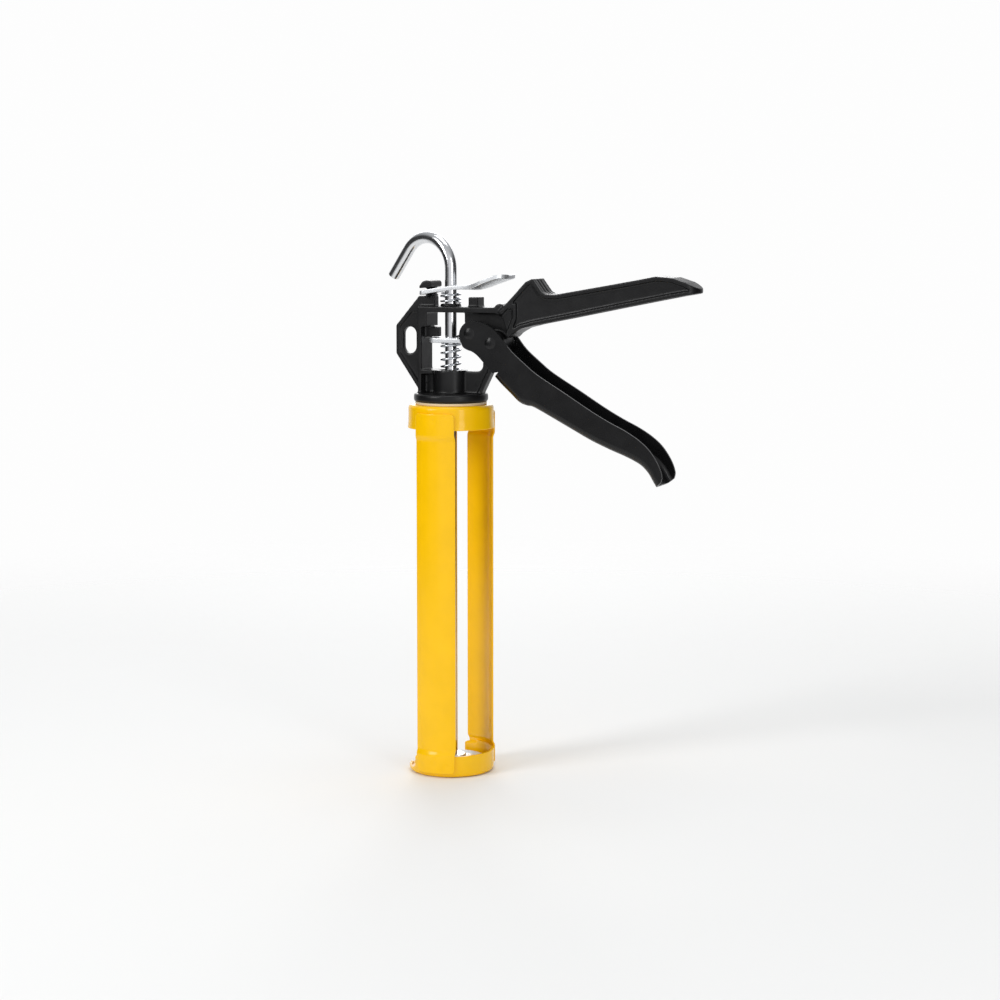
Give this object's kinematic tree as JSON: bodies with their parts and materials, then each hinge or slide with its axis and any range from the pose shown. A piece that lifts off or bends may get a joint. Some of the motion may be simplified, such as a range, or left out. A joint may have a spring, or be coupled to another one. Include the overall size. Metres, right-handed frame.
{
  "type": "caulking gun",
  "caption": "Cartridge caulking gun with a revolving open barrel, squeeze trigger, fixed handle, release lever and a hooked push rod with a plunger.",
  "frame": {"origin": "on the barrel's axis at the front cap's outer face, in the nozzle slot", "axes": "+Z along the barrel's axis from the front cap to the head, +X along the handle, +Y completes a right-handed frame"},
  "size_m": [0.2151, 0.0564, 0.3435],
  "materials": {
    "black_paint": "black powder coat on a die casting, semi-gloss",
    "trigger_paint": "black powder coat on pressed steel sheet, semi-gloss",
    "black_rivet": "black oxide rivet head",
    "black_oxide": "black oxide steel",
    "zinc_plate": "bright zinc plate",
    "spring_steel": "zinc plated spring wire",
    "bright_rod": "bright drawn and plated steel bar",
    "nylon": "natural nylon",
    "yellow_paint": "yellow gloss enamel on pressed steel sheet"
  },
  "bodies": {
    "root": {"head_casting": "black_paint", "pivot_rivet": "black_rivet", "pivot_washers": "zinc_plate", "nylon_washer": "nylon", "thrust_washer": "zinc_plate", "retaining_ring": "spring_steel", "drive_spring": "spring_steel", "release_spring": "spring_steel"},
    "barrel": {"rear_cap": "yellow_paint", "front_cap": "yellow_paint", "left_strip": "yellow_paint", "right_strip": "yellow_paint"},
    "plunger": {"plunger_disc": "zinc_plate", "plunger_hub": "zinc_plate"},
    "rod": {"push_rod": "bright_rod", "rod_nut": "zinc_plate", "rod_washer": "zinc_plate"},
    "plate": {"drive_plate": "zinc_plate"},
    "lever": {"release_lever": "zinc_plate"},
    "trigger": {"trigger": "trigger_paint", "drive_rivet": "black_rivet"},
    "pawl": {"drive_pawl": "black_oxide"}
  },
  "joints": [
    {"name": "barrel_spin", "type": "hinge", "parent": "root", "child": "barrel", "pos_m": [0, 0, 0.235], "axis": [0, 0, 1], "continuous": true},
    {"name": "rod_slide", "type": "slide", "parent": "root", "child": "plunger", "axis": [0, 0, 1], "range_m": [0, 0.216]},
    {"name": "rod_swivel", "type": "hinge", "parent": "plunger", "child": "rod", "pos_m": [0, 0, 0.01], "axis": [0, 0, 1], "range_deg": [-130, 168]},
    {"name": "trigger_squeeze", "type": "hinge", "parent": "root", "child": "trigger", "pos_m": [0.0325, 0, 0.2746], "axis": [0, -1, 0], "range_deg": [0, 35], "stiffness_Nm_per_rad": 0.6, "springref_deg": -28.65},
    {"name": "pawl_turn", "type": "hinge", "parent": "trigger", "child": "pawl", "pos_m": [0.0183, 0, 0.2804], "axis": [0, -1, 0], "range_deg": [-36, 0]},
    {"name": "drive_plate_slide", "type": "slide", "parent": "root", "child": "plate", "axis": [0, 0, -1], "range_m": [0, 0.0092], "deforming": ["drive_spring"]},
    {"name": "release_lever_press", "type": "hinge", "parent": "root", "child": "lever", "pos_m": [-0.013, 0, 0.3034], "axis": [0, 1, 0], "range_deg": [0, 10], "stiffness_Nm_per_rad": 0.4, "springref_deg": -22.92, "deforming": ["release_spring"]}
  ],
  "couplings": [
    {"joint": "pawl_turn", "follows": "trigger_squeeze", "ratio": -1},
    {"joint": "drive_plate_slide", "follows": "trigger_squeeze", "m_per_rad": 0.015}
  ]
}
